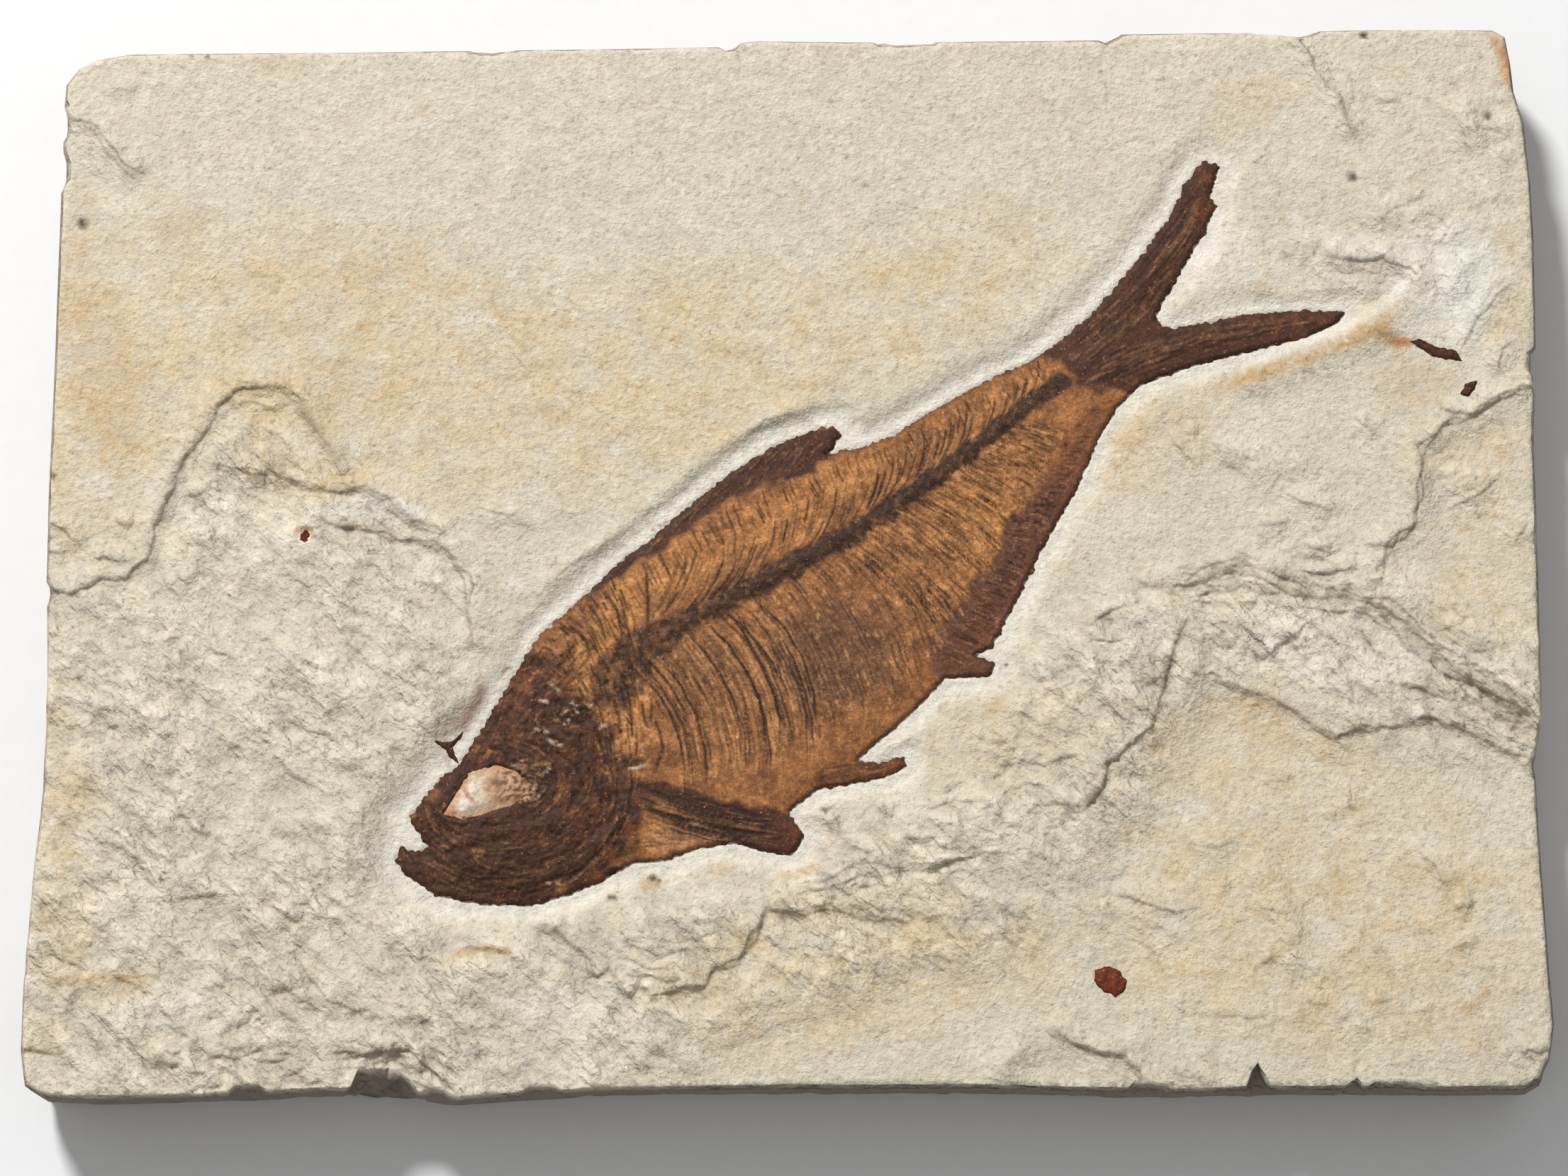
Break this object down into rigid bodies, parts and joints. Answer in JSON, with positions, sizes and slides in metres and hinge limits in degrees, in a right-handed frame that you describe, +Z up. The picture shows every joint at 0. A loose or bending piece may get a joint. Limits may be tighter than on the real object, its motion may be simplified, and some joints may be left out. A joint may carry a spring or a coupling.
{
  "type": "fossil fish slab",
  "caption": "Loose rectangular block of pale bedded limestone with a flattened brown fossil fish set in its top, beside a few small scales and bone pieces.",
  "frame": {"origin": "centre of the slab's box, on its flat underside", "axes": "+Z up, out of the face that shows the fish; +X along the slab's long side, from the fish's head to its tail; +Y across it, towards the fish's back"},
  "size_m": [0.2012, 0.147, 0.0139],
  "materials": {
    "limestone": "pale cream limestone with ochre stains, matt, split along its beds",
    "fossil_bone": "golden brown to dark brown fossil bone and film, matt with a slight sheen",
    "calcite": "pale pinkish mineral",
    "dark_bone": "very dark brown fossil bone",
    "scale": "red-brown fossil scale with a slight sheen"
  },
  "bodies": {
    "root": {"limestone_slab": "limestone", "fossil_fish": "fossil_bone", "eye_socket_calcite": "calcite", "bone_chip": "dark_bone", "bone_splinter": "dark_bone", "bone_fleck": "dark_bone", "brown_scale": "scale", "small_scale": "scale"}
  },
  "joints": []
}
